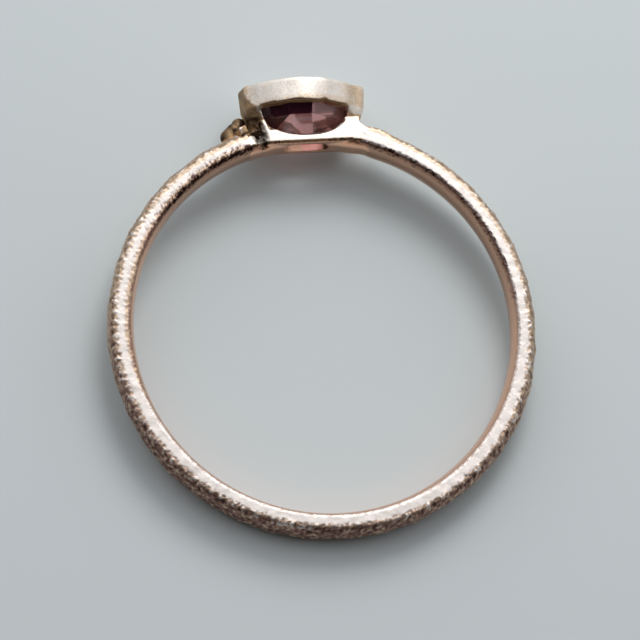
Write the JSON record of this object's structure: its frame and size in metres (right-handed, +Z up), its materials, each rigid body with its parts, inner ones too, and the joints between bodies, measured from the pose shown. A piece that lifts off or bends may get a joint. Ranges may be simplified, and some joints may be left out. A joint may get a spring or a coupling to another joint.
{
  "type": "bezel-set spinel ring",
  "caption": "Narrow hammered gold finger ring with a faceted plum stone in an openwork bezel and small gold beads on one shoulder, lying on its side.",
  "frame": {"origin": "on the surface that the ring lies on, under the middle of its box", "axes": "+Z up from the surface, +Y towards the stone, +X along the band beside the stone; the finger hole's axis leans about 3 degrees from +Z towards -Y, because the wider bezel lifts its end of the band"},
  "size_m": [0.0191, 0.0209, 0.0039],
  "materials": {
    "rose_gold": "matte hammered and filed outside, polished inside the finger hole",
    "spinel": "polished facets, plum to mauve pink"
  },
  "bodies": {
    "root": {"gold_ring": "rose_gold", "spinel_stone": "spinel"}
  },
  "joints": []
}
